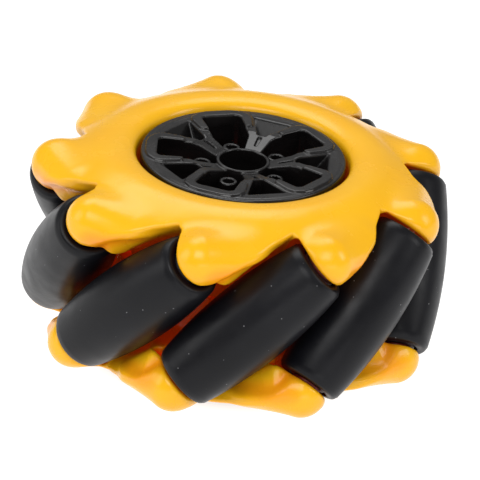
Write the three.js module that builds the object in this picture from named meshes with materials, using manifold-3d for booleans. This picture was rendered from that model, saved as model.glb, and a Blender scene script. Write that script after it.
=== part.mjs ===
// A 97 mm mecanum wheel for a robot chassis.
// Nine free-turning rubber rollers sit at 45 degrees between two identical moulded side plates,
// and a two-piece black hub, drawn together by five screws, clamps the plates.
// Units are millimetres. +Z is the wheel's own axis, towards its outer face. The origin is the wheel's centre.

import * as THREE from "three";
import { mergeVertices } from "three/addons/utils/BufferGeometryUtils.js";
import Module from "manifold-3d";

const wasm = await Module();
wasm.setup();

// ---------- driving dimensions ----------

const WHEEL_RADIUS = 48.5;
const ROLLER_COUNT = 9;
const ROLLER_PITCH = (2 * Math.PI) / ROLLER_COUNT;
const ROLLER_TILT = Math.PI / 4;
const ROLLER_MID_RADIUS = 9.5;
const ROLLER_END_FULLNESS = 0.3; // rubber left at a tread's ends beyond the true rolling shape
const ROLLER_HALF_LENGTH = 20.5;
const AXLE_CIRCLE = WHEEL_RADIUS - ROLLER_MID_RADIUS;
const GAP = 0.3; // between two pieces that touch or nest

const TREAD_EDGE = 1.0; // rounding of the tread's two ends
const TREAD_STEPS = 6; // stretches of the barrel profile
const CORE_RADIUS = 4.5;
const CORE_HALF_LENGTH = 20.3;
const PIN_RADIUS = 1.5;
const PIN_HALF_LENGTH = 25;
const BUSH_RADIUS = 2.7;
const BUSH_LENGTH = 4;
const BUSH_FLANGE_RADIUS = 3.6;
const BUSH_FLANGE = 0.6;

const PLATE_CREST_Z = 24.2; // the highest ring of the plate, which the wheel lies on
const SEAT_RADIUS = 24.3; // wall that the hub cup sits in
const DRUM_RADIUS = 28.0; // outside of the plate's inner drum
const LIP_RADIUS = 20.8; // inner lip that the hub clamps
const LIP_Z = [5, 8];
const BOSS_RADIUS = 5.9; // rounded nose that holds an axle's end
const SHOULDER_RADIUS = 4.6; // far end of the ridge that carries the nose, inside the dome
const SHOULDER_TURN = THREE.MathUtils.degToRad(22);
const BOSS_CENTRE = 23; // along the axle, from its middle
const POCKET_HALF_LENGTH = 21.2; // the plate's flat faces at a roller's two ends
const POCKET_CLEARANCE = 1.2;
const POCKET_REACH = 14; // how far a pocket opens outwards, past the rim
const POCKET_FLARE = 1.6; // widening of its upper side on the way out

const CUP_RADIUS = 23.5;
const CUP_INNER_RADIUS = 21.3;
const CUP_FACE_Z = 22.9;
const SPIDER_Z = 13.5; // underside of the deep spokes
const SPOKE_COUNT = 5;
const SPOKE_PHASE = THREE.MathUtils.degToRad(2.9);
const LOOP_RAISE = 0.5; // petal bands above the cup's rim
const TUBE_RADIUS = 6.1;
const BORE_RADIUS = 5.35;
const TUBE_TOP_Z = 21.2;
const DISH_RADIUS = 8; // the spokes' tops slope down from outside this to the tube
const HUB_SPLIT_Z = -14; // lower end of the front hub's tube and screw posts
const POST_CIRCLE = 9.3;
const POST_RADIUS = 2.1;
const POST_TOP_Z = 20.4;
const POST_RIB = 1.4; // rib that ties each post to the tube

const WEB_Z = [-17.3, HUB_SPLIT_Z - GAP]; // rear hub's closed web
const HEX_FLAT = 6.1; // half the hex socket's width across flats
const HEX_BOSS_RADIUS = 12.2;
const SCREW_RADIUS = 1.0;
const SCREW_HEAD_RADIUS = 1.8;
const SCREW_HEAD_Z = [-19.6, -17.6];
const SCREW_TIP_Z = 4;
const RETAINING_HOLE_RADIUS = 2.2;
const RETAINING_SEAT_RADIUS = 5.0; // sunk seat for the retaining screw's head, in front of the web
const RETAINING_SEAT_DEPTH = 0.5;

const YELLOW = new THREE.MeshStandardMaterial({ color: 0xffbe14, roughness: 0.32, metalness: 0 });
const BLACK_GLOSS = new THREE.MeshStandardMaterial({ color: 0x18181a, roughness: 0.3, metalness: 0 });
const RUBBER = new THREE.MeshStandardMaterial({ color: 0x1d1d20, roughness: 0.6, metalness: 0 });
const NYLON = new THREE.MeshStandardMaterial({ color: 0x222224, roughness: 0.5, metalness: 0 });
const STEEL = new THREE.MeshStandardMaterial({ color: 0xb9bcc0, roughness: 0.3, metalness: 1 });
const ACETAL = new THREE.MeshStandardMaterial({ color: 0xe6e2d8, roughness: 0.4, metalness: 0 });

// ---------- solids ----------

/** A closed three.js geometry as a manifold-3d solid. */
function solidOf(geometry) {
  const bare = geometry.index ? geometry.toNonIndexed() : geometry.clone();
  bare.deleteAttribute("normal");
  bare.deleteAttribute("uv");
  const merged = mergeVertices(bare, 1e-4);
  const vertProperties = merged.attributes.position.array;
  const triVerts = new Uint32Array(merged.index.array);
  return new wasm.Manifold(new wasm.Mesh({ numProp: 3, vertProperties, triVerts }));
}

/** A solid as a three.js geometry. */
function geometryOf(solid) {
  const mesh = solid.getMesh();
  const geometry = new THREE.BufferGeometry();
  geometry.setAttribute("position", new THREE.BufferAttribute(new Float32Array(mesh.vertProperties), 3));
  geometry.setIndex(new THREE.BufferAttribute(mesh.triVerts, 1));
  geometry.computeVertexNormals();
  return geometry;
}

/** A profile of [radius, height] points turned about +Z. It runs upwards on the outside. */
function turned(profile, segments) {
  const points = profile.map(([radius, height]) => new THREE.Vector2(radius, height));
  return new THREE.LatheGeometry(points, segments).rotateX(Math.PI / 2);
}

/** A closed profile turned about +Z, for a ring. */
function turnedRing(profile, segments) {
  return turned([...profile, profile[0]], segments);
}

/** A solid rod along +Z between two heights. */
function rod(radius, low, high, segments) {
  return turned([[0, low], [radius, low], [radius, high], [0, high]], segments);
}

function mesh(name, geometry, material) {
  const made = new THREE.Mesh(geometry, material);
  made.name = name;
  return made;
}

// ---------- rollers ----------

/** The barrel's radius at a distance along the axle: it just touches the wheel's outer cylinder. */
function barrelRadius(along) {
  const offset = along * Math.sin(ROLLER_TILT);
  const radii = Array.from({ length: 46 }, (_, degrees) => {
    const turn = THREE.MathUtils.degToRad(degrees);
    const lean = Math.sin(turn) * Math.cos(ROLLER_TILT);
    const a = Math.cos(turn) ** 2 + lean ** 2;
    const b = AXLE_CIRCLE * Math.cos(turn) + Math.abs(offset) * lean;
    const c = AXLE_CIRCLE ** 2 + offset ** 2 - WHEEL_RADIUS ** 2;
    return (Math.sqrt(b * b - a * c) - b) / a;
  });
  return Math.min(...radii) + ROLLER_END_FULLNESS * (along / ROLLER_HALF_LENGTH) ** 2;
}

/** Points along the barrel from one end to the other, swollen by a clearance. */
function barrelProfile(halfLength, clearance) {
  return Array.from({ length: TREAD_STEPS + 1 }, (_, step) => {
    const along = halfLength * ((2 * step) / TREAD_STEPS - 1);
    return [barrelRadius(along) + clearance, along];
  });
}

/** Position and turn of a roller: its own Z runs along the axle and its X points away from the wheel's axis. */
function rollerMatrix(index) {
  const angle = index * ROLLER_PITCH;
  const outwards = new THREE.Vector3(Math.cos(angle), Math.sin(angle), 0);
  const around = new THREE.Vector3(-Math.sin(angle), Math.cos(angle), 0);
  const axle = around.multiplyScalar(Math.sin(ROLLER_TILT)).add(new THREE.Vector3(0, 0, Math.cos(ROLLER_TILT)));
  const across = new THREE.Vector3().crossVectors(axle, outwards);
  const matrix = new THREE.Matrix4().makeBasis(outwards, across, axle);
  return matrix.setPosition(outwards.multiplyScalar(AXLE_CIRCLE));
}

function treadGeometry() {
  const end = ROLLER_HALF_LENGTH;
  const bore = CORE_RADIUS + GAP;
  const barrel = barrelProfile(end - TREAD_EDGE, 0);
  const shoulder = barrelRadius(end) - TREAD_EDGE;
  return turnedRing([[bore, -end], [shoulder, -end], ...barrel, [shoulder, end], [bore, end]], 16);
}

function coreGeometry() {
  const end = CORE_HALF_LENGTH;
  const seat = end - BUSH_LENGTH - GAP;
  const seatRadius = BUSH_RADIUS + GAP;
  const bore = PIN_RADIUS + GAP;
  const outside = [[seatRadius, -end], [CORE_RADIUS, -end], [CORE_RADIUS, end], [seatRadius, end]];
  const inside = [[seatRadius, seat], [bore, seat], [bore, -seat], [seatRadius, -seat]];
  return turnedRing([...outside, ...inside], 10);
}

/** A flanged bush, its flange against the core's upper end. */
function bushGeometry() {
  const face = CORE_HALF_LENGTH + 0.1;
  const tail = CORE_HALF_LENGTH - BUSH_LENGTH;
  const bore = PIN_RADIUS + 0.2;
  const barrel = [[bore, tail], [BUSH_RADIUS, tail], [BUSH_RADIUS, face]];
  const top = face + BUSH_FLANGE;
  const flange = [[BUSH_FLANGE_RADIUS, face], [BUSH_FLANGE_RADIUS, top], [bore, top]];
  return turnedRing([...barrel, ...flange], 8);
}

function pinGeometry() {
  const chamfer = 0.4;
  const shoulder = PIN_HALF_LENGTH - chamfer;
  const tip = PIN_RADIUS - chamfer;
  const low = [[0, -PIN_HALF_LENGTH], [tip, -PIN_HALF_LENGTH], [PIN_RADIUS, -shoulder]];
  const high = [[PIN_RADIUS, shoulder], [tip, PIN_HALF_LENGTH], [0, PIN_HALF_LENGTH]];
  return turned([...low, ...high], 8);
}

function roller(index, geometries) {
  const group = new THREE.Group();
  group.applyMatrix4(rollerMatrix(index));
  const number = index + 1;
  const lower = mesh(`bush_lower_${number}`, geometries.bush, ACETAL);
  lower.rotation.x = Math.PI;
  group.add(
    mesh(`roller_tread_${number}`, geometries.tread, RUBBER),
    mesh(`roller_core_${number}`, geometries.core, NYLON),
    mesh(`bush_upper_${number}`, geometries.bush, ACETAL),
    lower,
    mesh(`axle_pin_${number}`, geometries.pin, STEEL),
  );
  return group;
}

// ---------- side plates ----------

/** The plate before its pockets are cut: a domed ring, the drum behind it and the lip that the hub clamps. */
function plateBody() {
  const crest = PLATE_CREST_Z;
  const dome = [
    [43.4, 10.6], [45.2, 12.6], [44.8, 15.2], [42.4, 18.0], [38.6, 20.5], [35.0, 22.4], [31.2, crest],
    [28.0, crest], [26.4, crest - 0.3], [25.0, crest - 1.6],
  ];
  const well = [[SEAT_RADIUS, 20.4], [SEAT_RADIUS, LIP_Z[1]], [LIP_RADIUS, LIP_Z[1]], [LIP_RADIUS, LIP_Z[0]]];
  const drum = [[SEAT_RADIUS, LIP_Z[0]], [SEAT_RADIUS, GAP / 2], [DRUM_RADIUS, GAP / 2], [DRUM_RADIUS, 9]];
  const underside = [[38, 11.6], [41.8, 11.4]];
  return solidOf(turnedRing([...dome, ...well, ...drum, ...underside], 45));
}

/** The rounded nose over one end of an axle, with the ridge that runs from it into the dome. */
function bossGeometry(index) {
  const matrix = rollerMatrix(index);
  const nose = new THREE.Vector3(0, 0, BOSS_CENTRE).applyMatrix4(matrix);
  const root = new THREE.Vector3(0, 0, 17).applyMatrix4(matrix).setZ(15.6).multiplyScalar(0.92);
  root.applyAxisAngle(new THREE.Vector3(0, 0, 1), SHOULDER_TURN);
  const length = nose.distanceTo(root);
  const steps = [0, 1, 2, 3].map((step) => (Math.PI / 2) * (step / 3.5));
  const high = steps.map((turn) => [BOSS_RADIUS * Math.cos(turn), BOSS_RADIUS * Math.sin(turn)]);
  const profile = [[0, -length - SHOULDER_RADIUS], [SHOULDER_RADIUS, -length], ...high, [0, BOSS_RADIUS]];
  const turn = new THREE.Quaternion().setFromUnitVectors(
    new THREE.Vector3(0, 0, 1),
    nose.clone().sub(root).normalize(),
  );
  return turned(profile, 14).applyQuaternion(turn).translate(nose.x, nose.y, nose.z);
}

/** Room for a roller, open outwards so that its whole outer face runs free. */
function pocketGeometry() {
  const end = POCKET_HALF_LENGTH;
  const pocket = turned([[0, -end], ...barrelProfile(end, POCKET_CLEARANCE), [0, end]], 16);
  const at = pocket.attributes.position;
  for (let i = 0; i < at.count; i += 1) {
    if (at.getX(i) < 0.01) continue;
    at.setX(i, at.getX(i) + POCKET_REACH);
    if (at.getY(i) < 0) at.setY(i, at.getY(i) * POCKET_FLARE);
  }
  return pocket;
}

function plateGeometry() {
  const pocket = pocketGeometry();
  const socket = rod(PIN_RADIUS + GAP, 0, PIN_HALF_LENGTH + GAP, 8);
  let plate = plateBody();
  for (let index = 0; index < ROLLER_COUNT; index += 1) plate = plate.add(solidOf(bossGeometry(index)));
  for (let index = 0; index < ROLLER_COUNT; index += 1) {
    const matrix = rollerMatrix(index);
    plate = plate.subtract(solidOf(pocket.clone().applyMatrix4(matrix)));
    plate = plate.subtract(solidOf(socket.clone().applyMatrix4(matrix)));
  }
  return geometryOf(plate);
}

// ---------- hub ----------

/** Outline points, turned about the axis to an angle. */
function turnedOutline(points, angle) {
  const centre = new THREE.Vector2(0, 0);
  return points.map(([x, y]) => new THREE.Vector2(x, y).rotateAround(centre, angle));
}

function circlePoints(radius, count) {
  return Array.from({ length: count }, (_, i) => {
    const angle = (2 * Math.PI * i) / count;
    return new THREE.Vector2(radius * Math.cos(angle), radius * Math.sin(angle));
  });
}

/** Extrudes a shape between two heights. */
function prism(shape, low, high) {
  return new THREE.ExtrudeGeometry(shape, { depth: high - low, bevelEnabled: false }).translate(0, 0, low);
}

/** A prism whose top sinks towards the tube at the centre. */
function dished(shape, low, high) {
  const geometry = prism(shape, low, high);
  const at = geometry.attributes.position;
  for (let i = 0; i < at.count; i += 1) {
    const upper = at.getZ(i) > (low + high) / 2;
    if (upper && Math.hypot(at.getX(i), at.getY(i)) < DISH_RADIUS) at.setZ(i, TUBE_TOP_Z);
  }
  return geometry;
}

const PETAL_WINDOW = [
  [19.7, -3.6], [19.7, 3.6], [18.9, 4.6], [10.5, 4.2], [6.0, 1.9], [6.0, -1.9], [10.5, -4.2], [18.9, -4.6],
];
const FORK_WINDOW = [[12.0, -0.9], [12.0, 0.9], [19.1, 4.4], [19.1, -4.4]];

// A raised band round the outer part of each petal window, on the face.
const PETAL_BAND = [
  [22.3, -2.6], [22.3, 2.6], [21.8, 5.0], [20.3, 7.0], [18.4, 7.2], [14.6, 6.4],
  [14.6, -6.4], [18.4, -7.2], [20.3, -7.0], [21.8, -5.0],
];

const petalAngles = Array.from(
  { length: SPOKE_COUNT },
  (_, i) => SPOKE_PHASE + ((2 * i + 1) * Math.PI) / SPOKE_COUNT,
);

/** The deep five-spoked face: forked spokes between petal-shaped windows with raised rims. */
function spider() {
  const face = new THREE.Shape(circlePoints(CUP_INNER_RADIUS + 0.6, 45));
  face.holes.push(new THREE.Path(circlePoints(BORE_RADIUS, 20)));
  for (const angle of petalAngles) {
    face.holes.push(new THREE.Path(turnedOutline(FORK_WINDOW, angle - Math.PI / SPOKE_COUNT)));
    face.holes.push(new THREE.Path(turnedOutline(PETAL_WINDOW, angle)));
  }
  let solid = solidOf(dished(face, SPIDER_Z, CUP_FACE_Z));
  for (const angle of petalAngles) {
    const band = new THREE.Shape(turnedOutline(PETAL_BAND, angle));
    const opening = new THREE.Shape(turnedOutline(PETAL_WINDOW, angle));
    const raised = solidOf(prism(band, CUP_FACE_Z - 1, CUP_FACE_Z + LOOP_RAISE));
    solid = solid.add(raised.subtract(solidOf(prism(opening, CUP_FACE_Z - 2, CUP_FACE_Z + 2))));
  }
  return solid;
}

function atAngle(geometry, radius, angle) {
  return solidOf(geometry.clone().translate(radius * Math.cos(angle), radius * Math.sin(angle), 0));
}

function frontHubGeometry() {
  const low = LIP_Z[1] + GAP;
  const cup = [
    [CUP_INNER_RADIUS, low], [CUP_RADIUS, low], [CUP_RADIUS, CUP_FACE_Z - 0.5],
    [CUP_RADIUS - 0.5, CUP_FACE_Z], [CUP_INNER_RADIUS, CUP_FACE_Z],
  ];
  const tube = [
    [BORE_RADIUS, HUB_SPLIT_Z], [TUBE_RADIUS, HUB_SPLIT_Z],
    [TUBE_RADIUS, TUBE_TOP_Z], [BORE_RADIUS, TUBE_TOP_Z],
  ];
  const post = rod(POST_RADIUS, HUB_SPLIT_Z, POST_TOP_Z, 12);
  const ribLength = POST_CIRCLE - TUBE_RADIUS + 0.4;
  const rib = new THREE.BoxGeometry(ribLength, POST_RIB, SPIDER_Z + 2 - HUB_SPLIT_Z);
  rib.translate(POST_CIRCLE - ribLength / 2, 0, (SPIDER_Z + 2 + HUB_SPLIT_Z) / 2);
  const hole = rod(SCREW_RADIUS + 0.2, HUB_SPLIT_Z - 1, POST_TOP_Z + 1, 8);
  let hub = solidOf(turnedRing(cup, 45)).add(spider()).add(solidOf(turnedRing(tube, 20)));
  for (const angle of petalAngles) {
    hub = hub.add(atAngle(post, POST_CIRCLE, angle)).add(solidOf(rib.clone().rotateZ(angle)));
  }
  hub = hub.subtract(solidOf(rod(BORE_RADIUS, HUB_SPLIT_Z - 1, CUP_FACE_Z + 3, 20)));
  for (const angle of petalAngles) hub = hub.subtract(atAngle(hole, POST_CIRCLE, angle));
  return geometryOf(hub);
}

/** A hexagonal rod with two of its flats square to Y. */
function hexRod(halfFlat, low, high) {
  return rod(halfFlat / Math.cos(Math.PI / 6), low, high, 6).rotateZ(Math.PI / 6);
}

function rearHubGeometry() {
  const cup = [
    [CUP_INNER_RADIUS, -CUP_FACE_Z], [CUP_RADIUS - 0.5, -CUP_FACE_Z], [CUP_RADIUS, 0.5 - CUP_FACE_Z],
    [CUP_RADIUS, -LIP_Z[1] - GAP], [CUP_INNER_RADIUS, -LIP_Z[1] - GAP],
  ];
  const counterbore = rod(SCREW_HEAD_RADIUS + GAP, -CUP_FACE_Z, SCREW_HEAD_Z[1] + GAP, 12);
  const clearance = rod(SCREW_RADIUS + GAP, -CUP_FACE_Z, 0, 8);
  let hub = solidOf(turnedRing(cup, 45));
  hub = hub.add(solidOf(rod(CUP_INNER_RADIUS + 0.6, WEB_Z[0], WEB_Z[1], 45)));
  hub = hub.add(solidOf(rod(HEX_BOSS_RADIUS, -CUP_FACE_Z, WEB_Z[1], 30)));
  hub = hub.subtract(solidOf(hexRod(HEX_FLAT, -CUP_FACE_Z - 1, WEB_Z[0] + 0.6)));
  hub = hub.subtract(solidOf(rod(RETAINING_HOLE_RADIUS, -CUP_FACE_Z, 0, 16)));
  hub = hub.subtract(solidOf(rod(RETAINING_SEAT_RADIUS, WEB_Z[1] - RETAINING_SEAT_DEPTH, 0, 20)));
  for (const angle of petalAngles) {
    hub = hub.subtract(atAngle(counterbore, POST_CIRCLE, angle));
    hub = hub.subtract(atAngle(clearance, POST_CIRCLE, angle));
  }
  return geometryOf(hub);
}

/** A long screw, its head at the rear. */
function screwGeometry() {
  const [head, seat] = SCREW_HEAD_Z;
  const profile = [[0, head], [SCREW_HEAD_RADIUS, head], [SCREW_HEAD_RADIUS, seat], [SCREW_RADIUS, seat]];
  const tip = [[SCREW_RADIUS, SCREW_TIP_Z - 1], [0, SCREW_TIP_Z]];
  return turned([...profile, ...tip], 10);
}

// ---------- the wheel ----------

const wheel = new THREE.Group();
const plate = plateGeometry();
const rearPlate = mesh("rear_plate", plate, YELLOW);
rearPlate.rotation.x = Math.PI;
wheel.add(mesh("front_plate", plate, YELLOW), rearPlate);
wheel.add(mesh("front_hub", frontHubGeometry(), BLACK_GLOSS), mesh("rear_hub", rearHubGeometry(), BLACK_GLOSS));

const screw = screwGeometry();
for (const [index, angle] of petalAngles.entries()) {
  const placed = mesh(`hub_screw_${index + 1}`, screw, STEEL);
  placed.position.set(POST_CIRCLE * Math.cos(angle), POST_CIRCLE * Math.sin(angle), 0);
  wheel.add(placed);
}

const rollerParts = { tread: treadGeometry(), core: coreGeometry(), bush: bushGeometry(), pin: pinGeometry() };
for (let index = 0; index < ROLLER_COUNT; index += 1) wheel.add(roller(index, rollerParts));

export default wheel;
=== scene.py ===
import math

import bpy
import numpy as np
from mathutils import Matrix, Vector


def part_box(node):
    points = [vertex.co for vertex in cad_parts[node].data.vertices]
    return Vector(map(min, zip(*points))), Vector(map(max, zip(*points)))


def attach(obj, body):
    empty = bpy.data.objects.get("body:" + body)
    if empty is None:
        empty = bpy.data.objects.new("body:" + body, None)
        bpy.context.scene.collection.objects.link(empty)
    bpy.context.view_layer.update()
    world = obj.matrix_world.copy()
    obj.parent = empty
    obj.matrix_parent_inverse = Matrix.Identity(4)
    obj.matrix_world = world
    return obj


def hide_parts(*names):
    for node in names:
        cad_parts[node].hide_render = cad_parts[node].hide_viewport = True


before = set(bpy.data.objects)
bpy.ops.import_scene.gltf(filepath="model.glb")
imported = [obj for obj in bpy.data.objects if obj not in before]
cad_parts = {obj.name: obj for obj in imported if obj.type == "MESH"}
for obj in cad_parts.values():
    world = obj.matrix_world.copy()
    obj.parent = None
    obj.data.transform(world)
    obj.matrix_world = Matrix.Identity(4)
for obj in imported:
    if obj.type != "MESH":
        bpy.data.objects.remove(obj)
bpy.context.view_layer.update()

MM = 0.001
WHEEL_BODY = "wheel"

# ---------------------------------------------------------------- driving dimensions, as in the CAD model

CREST_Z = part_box("front_plate")[1].z / MM
HUB_FACE_Z = 22.9
WHEEL_RADIUS = 48.5
ROLLER_MIDDLE_RADIUS = 9.5
AXLE_CIRCLE = WHEEL_RADIUS - ROLLER_MIDDLE_RADIUS
ROLLER_COUNT = 9
ROLLER_PITCH = 2 * math.pi / ROLLER_COUNT
ROLLER_HALF = 20.5
ROLLER_FULLNESS = 0.3

PLATE_GAP = 0.15
SEAT_RADIUS = 24.3
LIP_RADIUS = 20.8
LIP_Z = (5, 8)
DRUM_RADIUS = 28.0
POCKET_CLEARANCE = 1.2
POCKET_END = 21.2
POCKET_FLARE = 0.4
AXLE_SOCKET_RADIUS = 1.8
AXLE_SOCKET_END = 25.3

# A lobe runs from its nose, over the axle's end, back to its shoulder in the ring.
NOSE_RADIUS = 5.9
NOSE_AT = 23.0
SHOULDER_RADIUS = 4.8
SHOULDER_AT = 17.0
SHOULDER_Z = 16.2
SHOULDER_SHARE = 0.94
SHOULDER_TURN = math.radians(19)

CUP_RADII = (21.3, 23.5)
CUP_RADIUS = sum(CUP_RADII) / 2
CUP_HALF_WALL = (CUP_RADII[1] - CUP_RADII[0]) / 2
TUBE_RADII = (5.35, 6.1)
TUBE_RADIUS = sum(TUBE_RADII) / 2
TUBE_HALF_WALL = 0.375
TUBE_TOP_Z = 21.2
SPIDER_Z = 13.5
SPOKES = 5
SPOKE_PITCH = 2 * math.pi / SPOKES
SPOKE_PHASE = math.radians(2.9)
HUB_SPLIT_Z = -14.0
POST_CIRCLE = 9.3
POST_RADIUS = 2.1
POST_BORE = 1.2
POST_TOP_Z = 20.4
WEB_Z = (-17.3, -14.3)
HEX_FLAT = 6.1
HEX_BOSS_RADIUS = 12.2
SCREW_BORE_RADIUS = 1.3
SCREW_HEAD_RADIUS = 2.1
SCREW_SEAT_Z = -17.3
AXLE_BORE_RADIUS = 2.2
AXLE_SEAT_RADIUS = 5.0

# ---------------------------------------------------------------- fields: negative inside a solid


def smooth_min(a, b, blend):
    """Union of two fields, its crease filled over a distance."""
    h = np.clip(0.5 + 0.5 * (b - a) / blend, 0, 1)
    return b + (a - b) * h - blend * h * (1 - h)


def smooth_max(a, b, blend):
    """Intersection of two fields, its edge eased over a distance."""
    return -smooth_min(-a, -b, blend)


def outline_field(points):
    """The signed distance to a closed outline, as a function of x and y."""
    corners = np.array(points, float)
    following = np.roll(corners, -1, axis=0)

    def field(x, y):
        flat_x, flat_y = np.ravel(x), np.ravel(y)
        nearest = np.full(flat_x.shape, 1e9)
        inside = np.zeros(flat_x.shape, bool)
        for (ax, ay), (bx, by) in zip(corners, following):
            ex, ey = bx - ax, by - ay
            along = np.clip(((flat_x - ax) * ex + (flat_y - ay) * ey) / (ex * ex + ey * ey), 0, 1)
            nearest = np.minimum(nearest, (flat_x - ax - along * ex) ** 2 + (flat_y - ay - along * ey) ** 2)
            if ey:
                inside ^= ((ay > flat_y) != (by > flat_y)) & (flat_x < ex * (flat_y - ay) / ey + ax)
        return (np.sqrt(nearest) * np.where(inside, -1, 1)).reshape(np.shape(x))

    return field


def rounded_field(points, radius):
    """The signed distance to a convex anticlockwise outline whose corners are rounded."""
    corners = np.array(points, float)
    moved = []
    for i, corner in enumerate(corners):
        before = corner - corners[i - 1]
        after = corners[(i + 1) % len(corners)] - corner
        before /= np.linalg.norm(before)
        after /= np.linalg.norm(after)
        inwards = np.array([-before[1] - after[1], before[0] + after[0]])
        moved.append(corner + radius * inwards / (1 + before @ after))
    field = outline_field(moved)
    return lambda x, y: field(x, y) - radius


def softened(points, rounds=3):
    """Rounds a closed outline by cutting its corners. A point given as (x, y, "sharp") is kept."""
    current = [(p[0], p[1], len(p) > 2) for p in points]
    for _ in range(rounds):
        made = []
        for i, point in enumerate(current):
            if point[2]:
                made.append(point)
                continue
            for other in (current[i - 1], current[(i + 1) % len(current)]):
                made.append((0.75 * point[0] + 0.25 * other[0], 0.75 * point[1] + 0.25 * other[1], False))
        current = made
    return [(x, y) for x, y, _ in current]


def tapered_capsule(x, y, z, start, end, start_radius, end_radius):
    """A rod with round ends, whose radius changes evenly along it."""
    span = end - start
    px, py, pz = x - start[0], y - start[1], z - start[2]
    along = np.clip((px * span[0] + py * span[1] + pz * span[2]) / (span @ span), 0, 1)
    gap = np.sqrt((px - along * span[0]) ** 2 + (py - along * span[1]) ** 2 + (pz - along * span[2]) ** 2)
    return gap - (start_radius + (end_radius - start_radius) * along)


def box_section(u, v, half_u, half_v, rounding):
    """A rectangle with rounded corners, centred on the origin of u and v."""
    qu, qv = np.abs(u) - half_u + rounding, np.abs(v) - half_v + rounding
    outside = np.hypot(np.maximum(qu, 0), np.maximum(qv, 0))
    return outside + np.minimum(np.maximum(qu, qv), 0) - rounding


# ---------------------------------------------------------------- meshes


def make_mesh(name, points, faces):
    """A smooth-shaded mesh from points in millimetres."""
    mesh = bpy.data.meshes.new(name)
    mesh.from_pydata((np.asarray(points) * MM).tolist(), [], faces)
    mesh.validate()
    mesh.update()
    mesh.shade_smooth()
    return mesh


def grid_cells(inside):
    """Numbers the cells of the polar grid that the surface runs through."""
    corners = [(i, j, k) for i in (0, 1) for j in (0, 1) for k in (0, 1)]
    count = sum(corner_values(inside, corner).astype(np.int8) for corner in corners)
    active = (count > 0) & (count < 8)
    index = np.full(active.shape, -1)
    index[active] = np.arange(active.sum())
    return corners, active, index


def corner_values(values, corner):
    """Each cell's value at one of its eight corners. The grid closes on itself in its first direction."""
    turned = np.roll(values, -1, axis=0) if corner[0] else values
    rows, columns = turned.shape[1] - 1, turned.shape[2] - 1
    return turned[:, corner[1]: rows + corner[1], corner[2]: columns + corner[2]]


def draw_to_surface(field, points, reach, rounds):
    """Moves points onto the field's zero surface, along its slope."""
    step = 0.02
    for _ in range(rounds):
        x, y, z = points.T
        value = field(x, y, z)
        slope = np.stack([
            field(x + step, y, z) - field(x - step, y, z),
            field(x, y + step, z) - field(x, y - step, z),
            field(x, y, z + step) - field(x, y, z - step),
        ], 1) / (2 * step)
        move = -(value / np.maximum((slope * slope).sum(1), 0.2))[:, None] * slope
        length = np.linalg.norm(move, axis=1)
        points = points + move * np.minimum(1, reach / np.maximum(length, 1e-9))[:, None]
    return points


def field_mesh(name, field, sectors, per_sector, radii, heights, rounds=3):
    """Meshes the zero surface of a field that repeats round the Z axis, on a polar grid."""
    turn = 2 * math.pi / (sectors * per_sector)
    angle, radius, height = np.meshgrid(np.arange(per_sector) * turn, radii, heights, indexing="ij")
    values = np.tile(field(radius * np.cos(angle), radius * np.sin(angle), height), (sectors, 1, 1))
    values = np.where(values == 0, 1e-6, values)  # so that no grid point lies on the surface
    inside = values < 0
    corners, active, index = grid_cells(inside)

    # One vertex in each cell, at the mean of the places where its edges cross the surface.
    total = np.zeros((int(active.sum()), 3))
    hits = np.zeros(len(total))
    for start in corners:
        for axis in range(3):
            if start[axis]:
                continue
            end = [c + (n == axis) for n, c in enumerate(start)]
            a, b = corner_values(values, start)[active], corner_values(values, end)[active]
            crossed = (a < 0) != (b < 0)
            share = np.where(crossed, a / np.where(crossed, a - b, 1), 0)
            place = np.array(start, float)[None, :] + share[:, None] * (np.array(end) - np.array(start))
            total[crossed] += place[crossed]
            hits[crossed] += 1
    grid = np.argwhere(active) + total / hits[:, None]
    r = np.interp(grid[:, 1], np.arange(len(radii)), radii)
    z = np.interp(grid[:, 2], np.arange(len(heights)), heights)
    points = np.stack([r * np.cos(grid[:, 0] * turn), r * np.sin(grid[:, 0] * turn), z], 1)
    points = draw_to_surface(field, points, 0.5 * float(np.diff(radii).min()), rounds)

    # A grid edge that crosses the surface makes a face of the four cells round it.
    near = corner_values(inside, (0, 0, 0))
    faces = []
    for axis in range(3):
        far = corner_values(inside, [int(n == axis) for n in range(3)])
        crossed = near != far
        u, v = [n for n in range(3) if n != axis]
        ring = []
        for du, dv in ((0, 0), (1, 0), (1, 1), (0, 1)):
            shift = [0, 0, 0]
            shift[u], shift[v] = du, dv
            cells = np.roll(index, shift, axis=(0, 1, 2))
            if shift[1]:
                cells[:, 0, :] = -1
            if shift[2]:
                cells[:, :, 0] = -1
            crossed &= cells >= 0
            ring.append(cells)
        quads = np.stack([cells[crossed] for cells in ring], 1)
        outwards = near[crossed] ^ (axis != 1)
        quads[~outwards] = quads[~outwards][:, ::-1]
        faces.append(quads)
    return make_mesh(name, points, np.concatenate(faces).tolist())


def steps_between(*stops):
    """Grid positions: (start, spacing, start, spacing, ..., end)."""
    values = []
    for start, spacing, end in zip(stops[0::2], stops[1::2], stops[2::2]):
        values.extend(np.arange(start, end - spacing / 2, spacing))
    return np.array([*values, stops[-1]])


def hexagon_radius(angle):
    """The reach of a hexagon of unit half-width, at an angle from the middle of a flat."""
    return 1 / np.cos(np.mod(angle + math.pi / 6, math.pi / 3) - math.pi / 6)


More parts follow.
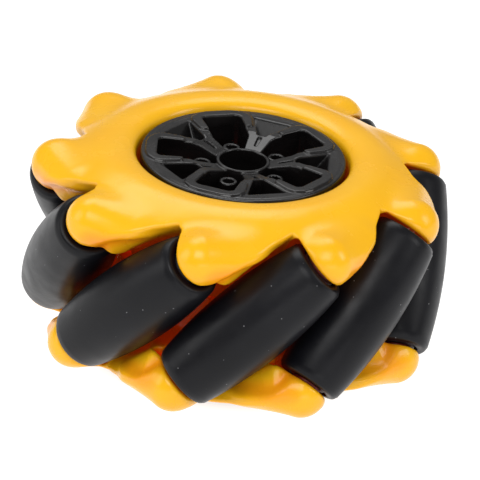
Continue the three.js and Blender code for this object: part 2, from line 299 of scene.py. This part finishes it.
def turned_mesh(name, profile, segments, closed=True):
    """A profile of (radius, height) turned about Z. A third value, "hex", makes that ring a hexagon."""
    points, rings = [], []
    angles = np.arange(segments) * 2 * math.pi / segments
    for radius, height, *shape in profile:
        if radius == 0:
            rings.append([len(points)] * segments)
            points.append((0, 0, height))
            continue
        rings.append(list(range(len(points), len(points) + segments)))
        reach = radius * hexagon_radius(angles) if shape else np.full(segments, radius)
        points.extend(zip(reach * np.cos(angles), reach * np.sin(angles), np.full(segments, height)))
    faces = []
    pairs = list(zip(rings, rings[1:]))
    if closed:
        pairs.append((rings[-1], rings[0]))
    for low, high in pairs:
        for i in range(segments):
            j = (i + 1) % segments
            face = list(dict.fromkeys([low[i], low[j], high[j], high[i]]))
            if len(face) > 2:
                faces.append(face)
    return make_mesh(name, points, faces)


def eased(profile, radius, steps=3, closed=True):
    """Rounds the corners of a (radius, height) profile."""
    made = []
    for i, corner in enumerate(profile):
        if not closed and i in (0, len(profile) - 1):
            made.append(tuple(corner))
            continue
        before, here, after = (np.array(profile[n % len(profile)], float) for n in (i - 1, i, i + 1))
        back, on = before - here, after - here
        cut = min(radius, 0.45 * np.linalg.norm(back), 0.45 * np.linalg.norm(on))
        start = here + back / np.linalg.norm(back) * cut
        end = here + on / np.linalg.norm(on) * cut
        for share in np.linspace(0, 1, steps + 1):
            made.append(tuple((1 - share) ** 2 * start + 2 * share * (1 - share) * here + share**2 * end))
    return made


def add_piece(name, mesh, body, node, place=None):
    """Puts a copy of a mesh in the scene: it rides on a body and stands for a CAD node.

    Its place goes into its mesh. Each vertex keeps where it was before that, as "local", for the materials.
    """
    mesh = mesh.copy()
    local = np.empty(len(mesh.vertices) * 3)
    mesh.vertices.foreach_get("co", local)
    mesh.attributes.new("local", "FLOAT_VECTOR", "POINT").data.foreach_set("vector", local)
    if place is not None:
        mesh.transform(place)
    piece = bpy.data.objects.new(name, mesh)
    bpy.context.scene.collection.objects.link(piece)
    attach(piece, body)
    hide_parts(node)


# ---------------------------------------------------------------- materials


class Shader:
    """A Principled material with a short way to add and join nodes."""

    def __init__(self, name, color, roughness, metallic=0.0, specular=0.5):
        self.material = bpy.data.materials.new(name)
        self.material.use_nodes = True
        self.tree = self.material.node_tree
        self.surface = self.tree.nodes["Principled BSDF"]
        self.set("Base Color", (*color, 1))
        self.set("Roughness", roughness)
        self.set("Metallic", metallic)
        self.set("Specular IOR Level", specular)

    def set(self, socket, value):
        self.surface.inputs[socket].default_value = value

    def node(self, kind, inputs=None, **settings):
        made = self.tree.nodes.new(kind)
        for key, value in settings.items():
            setattr(made, key, value)
        for socket, value in (inputs or {}).items():
            if isinstance(value, bpy.types.NodeSocket):
                self.tree.links.new(value, made.inputs[socket])
            else:
                made.inputs[socket].default_value = value
        return made

    def place(self, stretch=(1, 1, 1), local=False):
        """Where a point is in the wheel, or in its own piece, stretched."""
        if local:
            where = self.node("ShaderNodeAttribute", attribute_name="local").outputs["Vector"]
        else:
            where = self.node("ShaderNodeTexCoord").outputs["Object"]
        return self.node("ShaderNodeMapping", {"Vector": where, "Scale": stretch}).outputs["Vector"]

    def noise(self, scale, detail=2.0, stretch=(1, 1, 1), local=False):
        inputs = {"Vector": self.place(stretch, local), "Scale": scale, "Detail": detail}
        return self.node("ShaderNodeTexNoise", inputs).outputs["Fac"]

    def span(self, value, low, high, from_low=0.3, from_high=0.7):
        """A value taken from one range to another."""
        inputs = {"Value": value, "From Min": from_low, "From Max": from_high, "To Min": low, "To Max": high}
        return self.node("ShaderNodeMapRange", inputs).outputs["Result"]

    def mix(self, share, first, second):
        made = self.node("ShaderNodeMix", {0: share}, data_type="RGBA")
        for socket, value in ((6, first), (7, second)):
            if isinstance(value, bpy.types.NodeSocket):
                self.tree.links.new(value, made.inputs[socket])
            else:
                made.inputs[socket].default_value = (*value, 1)
        return made.outputs[2]

    def bump(self, height, distance, strength=1.0):
        inputs = {"Height": height, "Distance": distance, "Strength": strength}
        self.link(self.node("ShaderNodeBump", inputs).outputs["Normal"], "Normal")

    def link(self, output, socket):
        self.tree.links.new(output, self.surface.inputs[socket])


def plate_material():
    """Glossy yellow plastic with painted shade: deep orange where little light gets in, warmer on faces that
    look down, and a faint painted red glow in the deepest shade.
    """
    shader = Shader("plate_yellow", (0.96, 0.49, 0.007), 0.24, specular=0.38)
    painted_shade = shader.node("ShaderNodeAttribute", attribute_name="painted_shade").outputs["Fac"]
    cloudy = shader.span(shader.noise(70, 3), 0.0, 1.0)
    skin = shader.mix(cloudy, (0.95, 0.475, 0.005), (0.965, 0.51, 0.009))
    # Painted shade: faces that look down are warmer, the orange of the plastic in shade.
    normal = shader.node("ShaderNodeNewGeometry").outputs["Normal"]
    upwards = shader.node("ShaderNodeSeparateXYZ", {"Vector": normal}).outputs["Z"]
    skin = shader.mix(shader.span(upwards, 0.4, 0.0, -0.8, 0.5), skin, (0.96, 0.35, 0.003))
    # Painted shade: the colour turns deep orange where the stored painted shade is high.
    shader.link(shader.mix(painted_shade, skin, (0.93, 0.085, 0.001)), "Base Color")
    # A faint painted red glow, where the painted shade is, stands in for the light that seeps through the
    # plastic.
    shader.link(shader.mix(painted_shade, (0, 0, 0), (0.07, 0.005, 0)), "Emission Color")
    shader.set("Emission Strength", 1.0)
    shader.link(shader.span(shader.noise(160, 4), 0.20, 0.30), "Roughness")
    shader.bump(shader.noise(420, 3), 0.00002, 0.5)
    return shader.material


def hub_material():
    """Black plastic with a fine satin texture, broken by faint scuffs."""
    shader = Shader("hub_black", (0.0045, 0.004, 0.004), 0.22, specular=0.5)
    scuffs = shader.noise(90, 5, (1, 1, 2.5))
    worn = shader.span(scuffs, 0, 1)
    shader.link(shader.mix(worn, (0.0035, 0.003, 0.003), (0.006, 0.005, 0.005)), "Base Color")
    shader.link(shader.span(scuffs, 0.16, 0.34), "Roughness")
    shader.bump(shader.noise(1500, 3), 0.00003, 0.35)
    return shader.material


def rubber_material():
    """Satin rubber, faintly blue, with fine grain and a few specks of pale dust."""
    shader = Shader("tread_rubber", (0.004, 0.004, 0.006), 0.38, specular=0.22)
    specks = shader.node("ShaderNodeTexVoronoi", {"Vector": shader.place(), "Scale": 400.0})
    core = shader.span(specks.outputs["Distance"], 1.0, 0.0, 0.025, 0.065)
    kept = shader.node("ShaderNodeSeparateColor", {"Color": specks.outputs["Color"]}).outputs["Red"]
    chosen = shader.span(kept, 0.0, 1.0, 0.12, 0.14)
    dust = shader.node("ShaderNodeMath", {0: core, 1: chosen}, operation="MULTIPLY").outputs[0]
    haze = shader.span(shader.noise(60, 4), 0, 1)
    skin = shader.mix(haze, (0.003, 0.003, 0.0043), (0.005, 0.005, 0.007))
    shader.link(shader.mix(dust, skin, (0.27, 0.27, 0.28)), "Base Color")
    shader.link(shader.span(shader.noise(220, 4), 0.32, 0.44), "Roughness")
    shader.bump(shader.noise(2600, 2), 0.00003, 0.35)
    return shader.material


def core_material():
    """Dark grey nylon, faintly cloudy."""
    shader = Shader("core_nylon", (0.018, 0.018, 0.02), 0.42)
    cloudy = shader.span(shader.noise(150), 0, 1)
    shader.link(shader.mix(cloudy, (0.015, 0.015, 0.017), (0.03, 0.03, 0.033)), "Base Color")
    shader.link(shader.span(shader.noise(500, 3), 0.35, 0.5), "Roughness")
    shader.bump(shader.noise(1800), 0.00002, 0.4)
    return shader.material


def bush_material():
    """Turned acetal with fine tool rings, coloured red-brown as painted shade: the dark red of the shaded
    gap at a roller's end.
    """
    shader = Shader("bush_acetal", (0.2, 0.022, 0.012), 0.38)
    inputs = {"Vector": shader.place(local=True), "Scale": 900.0, "Distortion": 0.3}
    wave = shader.node("ShaderNodeTexWave", inputs, wave_type="RINGS", rings_direction="Z")
    rings = wave.outputs["Fac"]
    # Painted shade: the red-brown is the dark red of the shaded gap at a roller's end, put on the bush.
    shader.link(shader.mix(rings, (0.17, 0.018, 0.010), (0.23, 0.026, 0.014)), "Base Color")
    shader.link(shader.span(rings, 0.32, 0.42, 0, 1), "Roughness")
    shader.bump(rings, 0.00001, 0.4)
    return shader.material


def steel_material():
    """Ground steel: fine scratches round the axis."""
    shader = Shader("steel", (0.62, 0.63, 0.65), 0.28, metallic=1.0)
    scratches = shader.noise(260, 3, (1, 1, 14), local=True)
    bright = shader.span(scratches, 0, 1)
    shader.link(shader.mix(bright, (0.52, 0.53, 0.55), (0.68, 0.69, 0.71)), "Base Color")
    shader.link(shader.span(scratches, 0.2, 0.4), "Roughness")
    shader.bump(scratches, 0.00001, 0.4)
    return shader.material


# ---------------------------------------------------------------- rollers


def roller_axes(index):
    """A roller's outward, across and axle directions, and its middle in millimetres."""
    angle = index * ROLLER_PITCH
    outwards = np.array([math.cos(angle), math.sin(angle), 0])
    around = np.array([-math.sin(angle), math.cos(angle), 0])
    axle = (around + np.array([0, 0, 1])) / math.sqrt(2)
    return outwards, np.cross(axle, outwards), axle, outwards * AXLE_CIRCLE


def roller_place(index):
    """A roller's place in the wheel, in metres. Its third direction is the axle's."""
    outwards, across, axle, middle = roller_axes(index)
    place = Matrix.Identity(4)
    for row in range(3):
        place[row][0], place[row][1], place[row][2] = outwards[row], across[row], axle[row]
        place[row][3] = middle[row] * MM
    return place


def barrel_radius(along):
    """The barrel's radius at a distance along its axle: it just touches the wheel's outer cylinder."""
    along = np.abs(np.asarray(along, float))
    offset = along.ravel()[None, :] * math.sqrt(0.5)
    turn = np.radians(np.arange(46))[:, None]
    lean = np.sin(turn) * math.sqrt(0.5)
    a = np.cos(turn) ** 2 + lean**2
    b = AXLE_CIRCLE * np.cos(turn) + offset * lean
    c = AXLE_CIRCLE**2 + offset**2 - WHEEL_RADIUS**2
    radius = ((np.sqrt(b * b - a * c) - b) / a).min(0).reshape(along.shape)
    return radius + ROLLER_FULLNESS * (along / ROLLER_HALF) ** 2


FIT_AT = np.linspace(0, 22, 45)
FIT_END = 23.0
BARREL_FIT = np.polynomial.polynomial.polyfit(FIT_AT**2, barrel_radius(FIT_AT), 3)


def barrel_radius_quick(along):
    """The same radius as a polynomial, for the plates' fields."""
    return np.polynomial.polynomial.polyval(np.minimum(along * along, FIT_END**2), BARREL_FIT)


def tread_mesh():
    """The rubber barrel, its end faces a little dished where they meet the bore."""
    edge, bore = 1.0, 4.8
    rim = float(barrel_radius(ROLLER_HALF)) - edge
    arc = [
        (rim + edge * math.sin(turn), -ROLLER_HALF + edge - edge * math.cos(turn))
        for turn in np.radians([0, 15, 30, 45, 60, 75])
    ]
    lower = [(bore, -ROLLER_HALF + 0.9), (bore + 0.5, -ROLLER_HALF + 0.25), (rim - 1.1, -ROLLER_HALF), *arc]
    stations = np.linspace(-(ROLLER_HALF - edge), ROLLER_HALF - edge, 33)
    barrel = [(float(barrel_radius(at)), float(at)) for at in stations]
    upper = [(radius, -height) for radius, height in reversed(lower)]
    return turned_mesh("tread", [*lower, *barrel, *upper], 72)


def core_mesh():
    """The tube in the tread, bored out at each end for a bush."""
    end, seat = 20.3, 16.0
    outer, bush_bore, pin_bore = 4.5, 3.0, 1.8
    outside = [(bush_bore, -end), (outer, -end), (outer, end), (bush_bore, end)]
    inside = [(bush_bore, seat), (pin_bore, seat), (pin_bore, -seat), (bush_bore, -seat)]
    return turned_mesh("core", eased([*outside, *inside], 0.25), 48)


def bush_mesh():
    """The flanged bush at a core's upper end."""
    bore, outer, flange = 1.7, 2.7, 3.6
    start, under, end = 16.3, 20.4, 21.0
    profile = [(bore, start), (outer, start), (outer, under), (flange, under), (flange, end), (bore, end)]
    return turned_mesh("bush", eased(profile, 0.15), 40)


def pin_mesh():
    """The axle, with chamfered ends."""
    radius, half, tip = 1.5, 25.0, 0.4
    low = [(0, -half), (radius - tip, -half), (radius, -half + tip)]
    high = [(reach, -height) for reach, height in reversed(low)]
    return turned_mesh("pin", eased([*low, *high], 0.1, 2, closed=False), 32, closed=False)


def build_rollers(rubber, nylon, acetal, steel):
    tread, core, bush, pin = tread_mesh(), core_mesh(), bush_mesh(), pin_mesh()
    for mesh, material in ((tread, rubber), (core, nylon), (bush, acetal), (pin, steel)):
        mesh.materials.append(material)
    flipped = Matrix.Rotation(math.pi, 4, "X")
    for index in range(ROLLER_COUNT):
        number = index + 1
        body = f"roller_{number}"
        place = roller_place(index)
        add_piece(f"tread_{number}", tread, body, f"roller_tread_{number}", place)
        add_piece(f"core_{number}", core, body, f"roller_core_{number}", place)
        add_piece(f"upper_bush_{number}", bush, body, f"bush_upper_{number}", place)
        add_piece(f"lower_bush_{number}", bush, body, f"bush_lower_{number}", place @ flipped)
        add_piece(f"pin_{number}", pin, WHEEL_BODY, f"axle_pin_{number}", place)


# ---------------------------------------------------------------- side plates

plate_section = outline_field(softened([
    (43.6, 9.4), (45.3, 11.2), (45.4, 14.8), (43.2, 17.6), (39.4, 20.3), (35.4, 22.6),
    (31.4, CREST_Z), (27.4, CREST_Z), (25.0, CREST_Z - 0.9), (SEAT_RADIUS, 21.2),
    (SEAT_RADIUS, 14, "sharp"), (SEAT_RADIUS, LIP_Z[1], "sharp"), (LIP_RADIUS, LIP_Z[1], "sharp"),
    (LIP_RADIUS, LIP_Z[0], "sharp"), (SEAT_RADIUS, LIP_Z[0], "sharp"), (SEAT_RADIUS, PLATE_GAP, "sharp"),
    (DRUM_RADIUS, PLATE_GAP, "sharp"), (DRUM_RADIUS, 7.5), (DRUM_RADIUS + 0.4, 10.2), (34, 10.6),
]))


def lobe_ends(index):
    """The nose and the shoulder of the lobe over a roller's upper end."""
    _, _, axle, middle = roller_axes(index)
    nose = middle + axle * NOSE_AT
    root = middle + axle * SHOULDER_AT
    root = SHOULDER_SHARE * np.array([root[0], root[1], SHOULDER_Z])
    c, s = math.cos(SHOULDER_TURN), math.sin(SHOULDER_TURN)
    shoulder = np.array([c * root[0] - s * root[1], s * root[0] + c * root[1], root[2]])
    return nose, shoulder


# The rollers, and their lobes, that can reach into one sector of the plate.
NEAR_SECTOR = (-3, -2, -1, 0, 1)
ROLLERS = [roller_axes(index) for index in NEAR_SECTOR]
LOBES = [lobe_ends(index) for index in NEAR_SECTOR]
NOSE_ANGLE = math.atan2(NOSE_AT * math.sqrt(0.5), AXLE_CIRCLE)

# Between the noses the rim is undercut by a slope that faces outwards and down. How far out it lies,
# along its normal, at each angle past the nose.
UNDERCUT_NORMAL = (0.8, -0.6)
UNDERCUT_ANGLE = np.radians([-10.0, -6.0, -3.0, 3.0, 7.5, 9.3, 13.5, 22.0, 30.0])
UNDERCUT_AT = [17.0, 22.0, 26.0, 26.8, 26.8, 26.4, 23.8, 19.8, 17.0]

# The height of a lobe's underside, at each angle past its nose.
UNDERSIDE_ANGLE = np.radians([2.0, 4.8, 7.0, 10.0, 13.5, 22.0, 30.0])
UNDERSIDE_Z = [10.8, 11.5, 13.0, 15.3, 16.4, 17.9, 19.0]

# A small blind hole beside each axle's end, which the photograph shows and the CAD leaves out.
PEG_RADIUS = 1.3
PEG_AT = 38.6
PEG_END_Z = 15.5
PEG_ANGLE = NOSE_ANGLE + math.radians(7.6)


def sector(x, y):
    """A point's radius, and its angle within the sector that repeats."""
    return np.hypot(x, y), np.mod(np.arctan2(y, x), ROLLER_PITCH)


def ring_field(r, angle, z):
    """The turned ring, with its undercut rim."""
    past = np.mod(angle - NOSE_ANGLE + ROLLER_PITCH / 4, ROLLER_PITCH) - ROLLER_PITCH / 4
    undercut = r * UNDERCUT_NORMAL[0] + z * UNDERCUT_NORMAL[1] - np.interp(past, UNDERCUT_ANGLE, UNDERCUT_AT)
    return smooth_max(plate_section(r, z), undercut, 1.0)


def lobe_field(r, angle, z):
    """All the lobes that reach into the sector."""
    x, y = r * np.cos(angle), r * np.sin(angle)
    nearest = np.inf
    for nose, shoulder in LOBES:
        lump = tapered_capsule(x, y, z, nose, shoulder, NOSE_RADIUS, SHOULDER_RADIUS)
        underside = np.interp(angle - math.atan2(nose[1], nose[0]), UNDERSIDE_ANGLE, UNDERSIDE_Z)
        nearest = np.minimum(nearest, smooth_max(lump, underside - z, 1.2))
    return nearest


def plate_blank(r, angle, z):
    """The plate before its pockets. The lobes run into the ring more broadly near the top."""
    fillet = np.interp(z, [13.0, 18.0], [1.2, 4.2])
    return smooth_min(ring_field(r, angle, z), lobe_field(r, angle, z), fillet)


def plate_field(x, y, z):
    """The plate, less its peg holes and, at each roller, the pocket and the axle's socket."""
    r, angle = sector(x, y)
    solid = plate_blank(r, angle, z)
    x, y = r * np.cos(angle), r * np.sin(angle)
    peg = np.hypot(x - PEG_AT * math.cos(PEG_ANGLE), y - PEG_AT * math.sin(PEG_ANGLE)) - PEG_RADIUS
    solid = smooth_max(solid, -np.maximum(peg, z - PEG_END_Z), 0.2)
    for outwards, across, axle, middle in ROLLERS:
        dx, dy, dz = x - middle[0], y - middle[1], z - middle[2]
        out = dx * outwards[0] + dy * outwards[1] + dz * outwards[2]
        side = dx * across[0] + dy * across[1] + dz * across[2]
        along = dx * axle[0] + dy * axle[1] + dz * axle[2]
        reach = barrel_radius_quick(along) + POCKET_CLEARANCE
        flared = np.maximum(side - reach, (-side - reach - POCKET_FLARE * out) / math.hypot(1, POCKET_FLARE))
        pocket = np.where(out < 0, np.hypot(out, side) - reach, flared)
        pocket = smooth_max(pocket, np.abs(along) - POCKET_END, 0.8)
        solid = smooth_max(solid, -pocket, 0.9)
        socket = np.maximum(np.hypot(out, side) - AXLE_SOCKET_RADIUS, np.abs(along) - AXLE_SOCKET_END)
        solid = np.maximum(solid, -socket)
    return solid


def store_painted_shade(mesh):
    """Stores the painted shade at each vertex, for the colour: how little light reaches it, 0 on the outer
    skin, 1 well inside.

    The painted shade grows in the pockets, towards the drum, down the hub's well and in the crease between
    ring and lobes.
    """
    points = np.empty(len(mesh.vertices) * 3)
    mesh.vertices.foreach_get("co", points)
    x, y, z = points.reshape(-1, 3).T / MM
    r, angle = sector(x, y)
    # Painted shade, deepest in the pockets, towards the drum, in the hub's well and along the ring's crease.
    buried = np.clip((-plate_blank(r, angle, z) - 0.1) / 1.4, 0, 1)
    inner = np.clip((38.5 - r) / 4.0, 0, 1) * np.clip((13.5 - z) / 3.0, 0, 1)
    well = 0.7 * np.clip((24.8 - r) / 0.4, 0, 1) * np.clip((21.6 - z) / 2.0, 0, 1)
    ring, lobes = ring_field(r, angle, z), lobe_field(r, angle, z)
    crease = np.clip(1.3 - (np.abs(ring) + np.abs(lobes)) / 2.2, 0, 1)
    crease = 0.32 * crease * np.clip((18 - z) / 2, 0, 1)
    painted_shade = np.maximum(np.maximum(buried, inner), np.maximum(well, crease)) ** 0.8
    mesh.attributes.new("painted_shade", "FLOAT", "POINT").data.foreach_set("value", painted_shade)


def build_plates(yellow):
    radii = steps_between(20.0, 0.45, 49.4)
    heights = steps_between(-0.5, 0.45, 25.0)
    front = field_mesh("side_plate", plate_field, ROLLER_COUNT, 72, radii, heights)
    store_painted_shade(front)
    front.materials.append(yellow)
    rear = front.copy()
    rear.transform(Matrix.Rotation(math.pi, 4, "X"))
    add_piece("front_side_plate", front, WHEEL_BODY, "front_plate")
    add_piece("rear_side_plate", rear, WHEEL_BODY, "rear_plate")


# ---------------------------------------------------------------- hub

# Outlines in a petal window's or a spoke's own frame, whose first direction points outwards.
petal_opening = rounded_field([
    (19.7, -3.6), (19.7, 3.6), (18.9, 4.6), (10.5, 4.2), (6.0, 1.9), (6.0, -1.9), (10.5, -4.2), (18.9, -4.6),
], 0.7)
petal_band = rounded_field([
    (22.4, -2.8), (22.4, 2.8), (21.8, 5.0), (20.2, 6.9), (18.4, 7.2), (13.6, 6.2),
    (13.6, -6.2), (18.4, -7.2), (20.2, -6.9), (21.8, -5.0),
], 1.0)
fork_opening = rounded_field([(12.0, -0.9), (19.9, -4.7), (19.9, 4.7), (12.0, 0.9)], 0.5)
stem_slot = rounded_field([(8.2, -0.32), (11.4, -0.5), (11.4, 0.5), (8.2, 0.32)], 0.3)
BAND_TOP_Z = HUB_FACE_Z + 0.5
LIP_TOP_Z = TUBE_TOP_Z + 0.45


def spoke_sector(x, y):
    """A point in the frame of the nearest spoke, and in that of the nearest petal window."""
    r = np.hypot(x, y)
    turn = np.abs(np.mod(np.arctan2(y, x) - SPOKE_PHASE + SPOKE_PITCH / 2, SPOKE_PITCH) - SPOKE_PITCH / 2)
    petal = SPOKE_PITCH / 2 - turn
    return r, r * np.cos(turn), r * np.sin(turn), r * np.cos(petal), r * np.sin(petal)


def front_hub_field(x, y, z):
    """The front hub: a cup closed by a spoked face, with a tube and the screws' posts behind it."""
    r, fork_x, fork_y, petal_x, petal_y = spoke_sector(x, y)
    cup_middle = (HUB_FACE_Z + LIP_Z[1] + 0.3) / 2
    cup = box_section(r - CUP_RADIUS, z - cup_middle, CUP_HALF_WALL, HUB_FACE_Z - cup_middle, 0.45)
    # The face is flat out to the cup, and each stem slopes down from it to the tube.
    top = TUBE_TOP_Z + (HUB_FACE_Z - TUBE_TOP_Z) * np.clip((r - 6.6) / 6.2, 0, 1)
    face = smooth_max(np.maximum(r - 22.2, SPIDER_Z - z), 0.96 * (z - top), 0.2)
    face = smooth_max(face, -np.maximum(stem_slot(fork_x, fork_y), top - 0.55 - z), 0.12)
    band = smooth_max(np.maximum(petal_band(petal_x, petal_y), 21.5 - z), z - BAND_TOP_Z, 0.35)
    solid = smooth_min(smooth_min(face, cup, 0.25), band, 0.25)
    # The outer wall of each fork's window slopes down inwards.
    ramp = (HUB_FACE_Z - (19.7 - fork_x) * 1.25 - z) / 1.6
    fork = smooth_max(fork_opening(fork_x, fork_y), np.minimum(ramp, fork_x - 16.6), 0.3)
    openings = np.minimum(petal_opening(petal_x, petal_y), fork)
    solid = smooth_max(solid, -openings, 0.4)
    # The tube, with a thin lip, and the posts that the screws bite into.
    tube_middle = (LIP_TOP_Z + HUB_SPLIT_Z) / 2
    tube = box_section(r - TUBE_RADIUS, z - tube_middle, TUBE_HALF_WALL, LIP_TOP_Z - tube_middle, 0.2)
    post_gap = np.hypot(petal_x - POST_CIRCLE, petal_y)
    post = smooth_max(post_gap - POST_RADIUS, z - POST_TOP_Z, 0.35)
    rib = np.maximum(np.maximum(petal_y - 0.7, np.abs(petal_x - 7.6) - 1.8), z - SPIDER_Z - 2)
    post = smooth_min(post, rib, 0.3)
    solid = smooth_min(solid, np.minimum(tube, np.maximum(post, HUB_SPLIT_Z - z)), 0.3)
    solid = smooth_max(solid, TUBE_RADII[0] - r, 0.12)
    return smooth_max(solid, POST_BORE - post_gap, 0.2)


def rear_hub_field(x, y, z):
    """The rear hub: a cup with a closed web, and a boss with the hexagonal socket."""
    r, _, _, petal_x, petal_y = spoke_sector(x, y)
    low = -HUB_FACE_Z
    cup_middle = (low - LIP_Z[1] - 0.3) / 2
    cup = box_section(r - CUP_RADIUS, z - cup_middle, CUP_HALF_WALL, cup_middle - low, 0.45)
    web = np.maximum(r - 22.0, np.maximum(WEB_Z[0] - z, z - WEB_Z[1]))
    boss = np.maximum(smooth_max(r - HEX_BOSS_RADIUS, low - z, 0.5), z - WEB_Z[1])
    solid = smooth_min(smooth_min(cup, web, 0.8), boss, 0.6)
    # Stiffening ribs between the boss and the cup, one beside each screw.
    rib = np.maximum(petal_y - 0.6, np.maximum(10 - petal_x, petal_x - 22.4))
    rib = np.maximum(rib, np.maximum(low + 1.2 - z, z - WEB_Z[1]))
    solid = smooth_min(solid, rib, 0.5)
    angle = np.arctan2(y, x)
    socket = r / hexagon_radius(angle) - HEX_FLAT
    solid = smooth_max(solid, -np.maximum(socket, z - WEB_Z[0] - 0.6), 0.25)
    seat = np.maximum(r - AXLE_SEAT_RADIUS, WEB_Z[1] - 0.5 - z)
    solid = smooth_max(solid, -np.minimum(seat, r - AXLE_BORE_RADIUS), 0.15)
    screw_gap = np.hypot(petal_x - POST_CIRCLE, petal_y)
    head = np.maximum(screw_gap - SCREW_HEAD_RADIUS, z - SCREW_SEAT_Z)
    return smooth_max(solid, -np.minimum(head, screw_gap - SCREW_BORE_RADIUS), 0.2)


def screw_mesh():
    """A long screw with a hexagonal socket in its head, which is at the lower end."""
    head, seat, tip = -19.6, -17.6, 4.0
    thread_start, thread_end, pitch = -10, tip - 1, 0.45
    socket = [(0, head + 1.1), (0.86, head + 1.1, "hex"), (0.9, head + 0.08, "hex"), (1.02, head)]
    cap = [(1.5, head), (1.72, head + 0.07), (1.8, head + 0.25), (1.8, seat), (1.0, seat)]
    thread = []
    for turn in range(int((thread_end - thread_start) / pitch)):
        at = thread_start + turn * pitch
        thread += [(1.0, at), (1.0, at + 0.12), (0.86, at + 0.26), (0.86, at + 0.33)]
    return turned_mesh("screw", [*socket, *cap, *thread, (0.8, tip - 0.6), (0, tip)], 36, closed=False)


def build_hub(black, steel):
    radii = steps_between(5.0, 0.27, 24.0)
    heights = steps_between(-14.4, 0.3, -13.2, 1.2, 7.2, 0.27, 24.0)
    front = field_mesh("hub_front", front_hub_field, SPOKES, 96, radii, heights)
    # The hexagonal socket doesn't repeat with the spokes, so the rear hub is one sector.
    radii = steps_between(1.9, 0.3, 24.0)
    heights = steps_between(-23.4, 0.3, -13.5, 0.8, -7.5)
    rear = field_mesh("hub_rear", rear_hub_field, 1, 420, radii, heights)
    for mesh in (front, rear):
        mesh.materials.append(black)
    add_piece("hub_face", front, WHEEL_BODY, "front_hub")
    add_piece("hub_back", rear, WHEEL_BODY, "rear_hub")
    screw = screw_mesh()
    screw.materials.append(steel)
    for number in range(1, SPOKES + 1):
        angle = SPOKE_PHASE + (2 * number - 1) * SPOKE_PITCH / 2
        at = Vector((math.cos(angle), math.sin(angle), 0)) * POST_CIRCLE * MM
        place = Matrix.Translation(at) @ Matrix.Rotation(angle, 4, "Z")
        add_piece(f"screw_{number}", screw, WHEEL_BODY, f"hub_screw_{number}", place)


# ---------------------------------------------------------------- stage


def build_camera():
    """The photograph's view: from the front and above, from some way off, and a little tilted."""
    azimuth, elevation, roll = math.radians(2.9), math.radians(26.86), math.radians(5.0)
    distance, aside, raised = 1.2749, 0.00099, 0.0009
    level = math.cos(elevation)
    back = Vector((math.sin(azimuth) * level, -math.cos(azimuth) * level, math.sin(elevation)))
    right = Vector((math.cos(azimuth), math.sin(azimuth), 0))
    up = right.cross(-back)
    across = math.cos(roll) * right + math.sin(roll) * up
    above = math.cos(roll) * up - math.sin(roll) * right
    data = bpy.data.cameras.new("camera")
    data.lens, data.sensor_width = 415.5, 36
    data.clip_start, data.clip_end = 0.05, 20
    camera = bpy.data.objects.new("camera", data)
    bpy.context.scene.collection.objects.link(camera)
    place = Matrix.Identity(4)
    for row in range(3):
        place[row][0], place[row][1], place[row][2] = across[row], above[row], back[row]
    place.translation = back * distance + across * aside + above * raised
    camera.matrix_world = place
    bpy.context.scene.camera = camera


def build_floor():
    """A white floor, lit from within so that it stays plain white round the wheel, with a painted shadow
    under it.
    """
    half, gap = 6.0, 0.0001
    height = -CREST_Z * MM - gap
    corners = [(-half, -half, height), (half, -half, height), (half, half, height), (-half, half, height)]
    mesh = bpy.data.meshes.new("floor")
    mesh.from_pydata(corners, [], [(0, 1, 2, 3)])
    shader = Shader("floor_white", (0.14, 0.14, 0.14), 0.9, specular=0.0)
    shader.set("Emission Color", (1, 1, 1, 1))
    # Painted shadow: the floor's glow is 0.35 within 24 mm of the wheel's axis and rises to 1.1 by 38 mm.
    reach = shader.node("ShaderNodeVectorMath", {0: shader.place((1, 1, 0))}, operation="LENGTH")
    shader.link(shader.span(reach.outputs["Value"], 0.35, 1.1, 0.024, 0.038), "Emission Strength")
    mesh.materials.append(shader.material)
    floor = bpy.data.objects.new("floor", mesh)
    bpy.context.scene.collection.objects.link(floor)


def softbox(name, direction, distance, size, power):
    """A rectangular lamp in a direction from the wheel's centre, facing it."""
    data = bpy.data.lights.new(name, "AREA")
    data.shape = "RECTANGLE"
    data.size, data.size_y = size
    data.energy = power
    light = bpy.data.objects.new(name, data)
    bpy.context.scene.collection.objects.link(light)
    towards = Vector(direction).normalized()
    light.location = towards * distance
    light.rotation_mode = "QUATERNION"
    light.rotation_quaternion = towards.to_track_quat("Z", "Y")


def build_lights():
    """White all round, with soft lamps from above and in front."""
    world = bpy.data.worlds.new("world")
    bpy.context.scene.world = world
    world.use_nodes = True
    background = world.node_tree.nodes["Background"]
    background.inputs["Color"].default_value = (1, 1, 1, 1)
    background.inputs["Strength"].default_value = 0.27
    softbox("overhead", (-0.25, 0.6, 1.0), 0.95, (0.7, 0.5), 3.5)
    softbox("back", (-0.1, 1.0, 0.5), 1.2, (1.0, 0.4), 0.12)
    softbox("right", (1.0, -0.2, 0.7), 1.0, (0.3, 0.5), 2.2)
    softbox("front", (-0.1, -0.75, 0.9), 1.3, (0.8, 0.65), 7.2)
    softbox("low_front", (0.35, -1.0, 0.10), 1.0, (0.8, 0.08), 1.0)
    softbox("left", (-1.0, -0.3, 0.45), 0.9, (0.5, 0.6), 1.9)
    bpy.context.scene.view_settings.view_transform = "Standard"


build_camera()
steel = steel_material()
build_plates(plate_material())
build_hub(hub_material(), steel)
build_rollers(rubber_material(), core_material(), bush_material(), steel)
build_floor()
build_lights()
